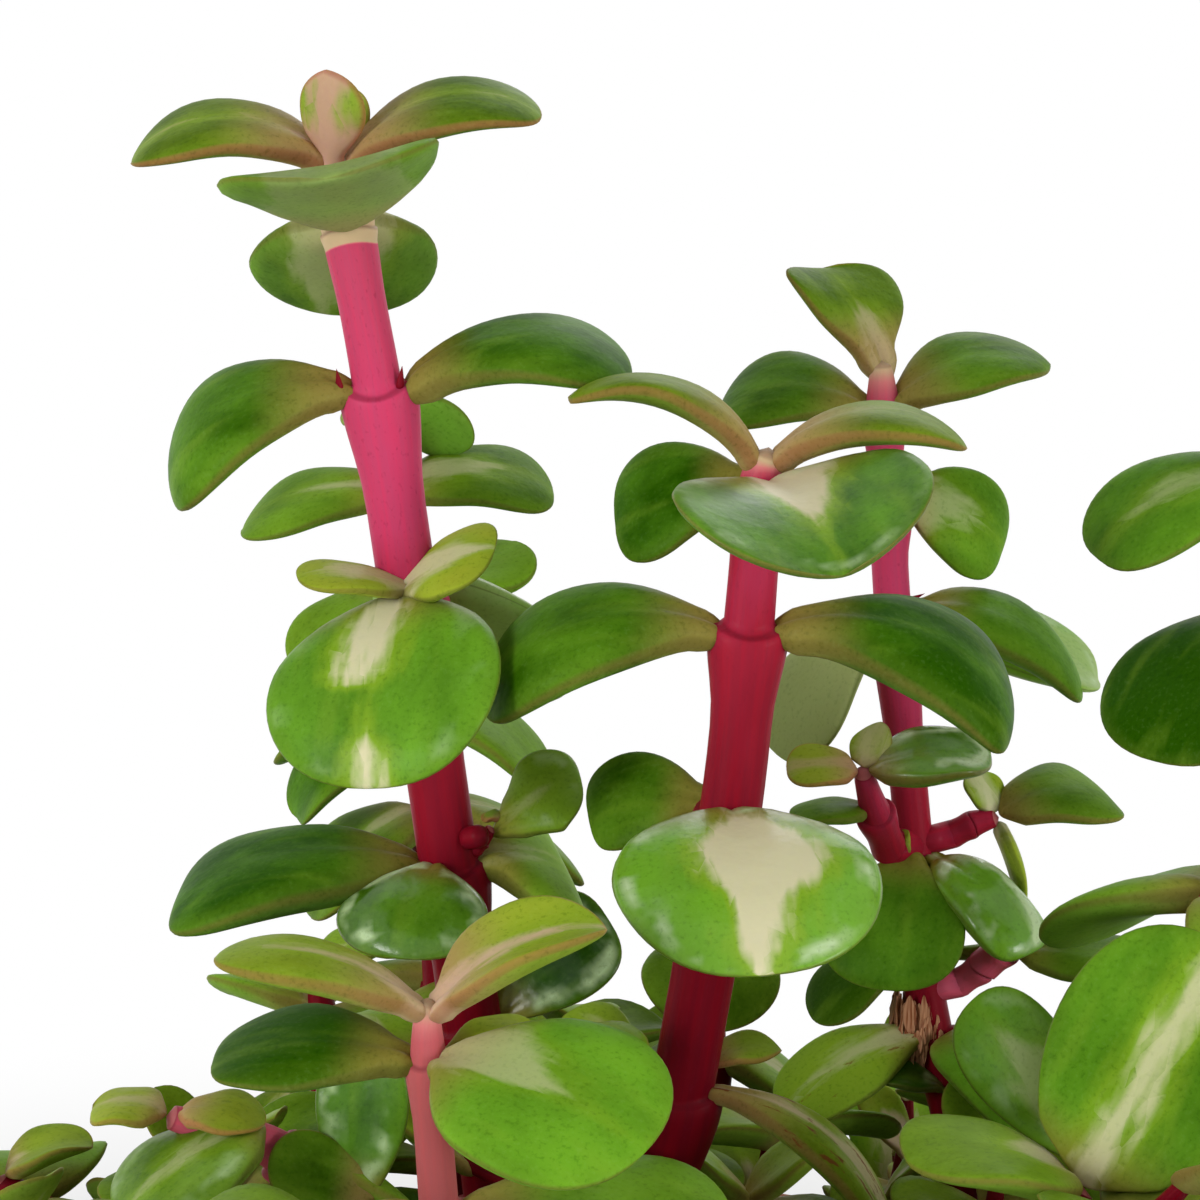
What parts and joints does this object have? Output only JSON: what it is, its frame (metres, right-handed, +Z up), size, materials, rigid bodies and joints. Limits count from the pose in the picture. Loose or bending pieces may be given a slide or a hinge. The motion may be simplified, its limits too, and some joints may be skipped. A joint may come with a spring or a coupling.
{
  "type": "potted elephant bush",
  "caption": "Bushy succulent with upright jointed red stems and pairs of plump round green-and-cream leaves, growing in a plain tapered clay pot.",
  "frame": {"origin": "middle of the pot's flat underside", "axes": "+Z up along the pot's axis, -Y towards the side that the plant is seen from, +X to the viewer's right"},
  "size_m": [0.1064, 0.1038, 0.1874],
  "materials": {
    "stem_skin": "satin",
    "leaf_skin": "satin",
    "fired_clay": "matte",
    "potting_mix": "matte"
  },
  "bodies": {
    "root": {"back_left_fill_shoot": "leaf_skin", "back_right_fill_shoot": "leaf_skin", "back_shoot": "leaf_skin", "clay_pot": "fired_clay", "edge_shoot": "leaf_skin", "front_leaf_3_left": "leaf_skin", "front_leaf_3_right": "leaf_skin", "front_leaf_4_back": "leaf_skin", "front_leaf_4_front": "leaf_skin", "front_leaf_5_left": "leaf_skin", "front_leaf_5_right": "leaf_skin", "front_leaf_6_back": "leaf_skin", "front_leaf_6_front": "leaf_skin", "front_leaf_7_left": "leaf_skin", "front_leaf_7_right": "leaf_skin", "front_stem": "stem_skin", "left_fill_shoot": "leaf_skin", "low_left_shoot": "leaf_skin", "low_right_shoot": "leaf_skin", "near_leaf_3_left": "leaf_skin", "near_leaf_3_right": "leaf_skin", "near_leaf_4_left": "leaf_skin", "near_leaf_4_right": "leaf_skin", "near_leaf_5_left": "leaf_skin", "near_leaf_5_right": "leaf_skin", "near_stem": "stem_skin", "potting_soil": "potting_mix", "rear_branch": "leaf_skin", "rear_leaf_3_left": "leaf_skin", "rear_leaf_3_right": "leaf_skin", "rear_leaf_4_left": "leaf_skin", "rear_leaf_5_front": "leaf_skin", "rear_leaf_5_right": "leaf_skin", "rear_leaf_6_left": "leaf_skin", "rear_leaf_6_right": "leaf_skin", "rear_leaf_7_right": "leaf_skin", "rear_leaf_8_left": "leaf_skin", "rear_leaf_8_right": "leaf_skin", "rear_leaf_9_back": "leaf_skin", "rear_left_sprig": "leaf_skin", "rear_right_sprig": "leaf_skin", "rear_stem": "stem_skin", "right_fill_shoot": "leaf_skin", "tall_leaf_4_axil_front": "leaf_skin", "tall_leaf_4_left": "leaf_skin", "tall_leaf_4_right": "leaf_skin", "tall_leaf_5_axil_left": "leaf_skin", "tall_leaf_5_axil_right": "leaf_skin", "tall_leaf_5_back": "leaf_skin", "tall_leaf_5_front": "leaf_skin", "tall_leaf_6_left": "leaf_skin", "tall_leaf_6_right": "leaf_skin", "tall_leaf_7_back": "leaf_skin", "tall_leaf_7_front": "leaf_skin", "tall_leaf_8_bud_back": "leaf_skin", "tall_leaf_8_bud_front": "leaf_skin", "tall_leaf_8_left": "leaf_skin", "tall_leaf_8_right": "leaf_skin", "tall_sprig": "leaf_skin", "tall_stem": "stem_skin"}
  },
  "joints": []
}
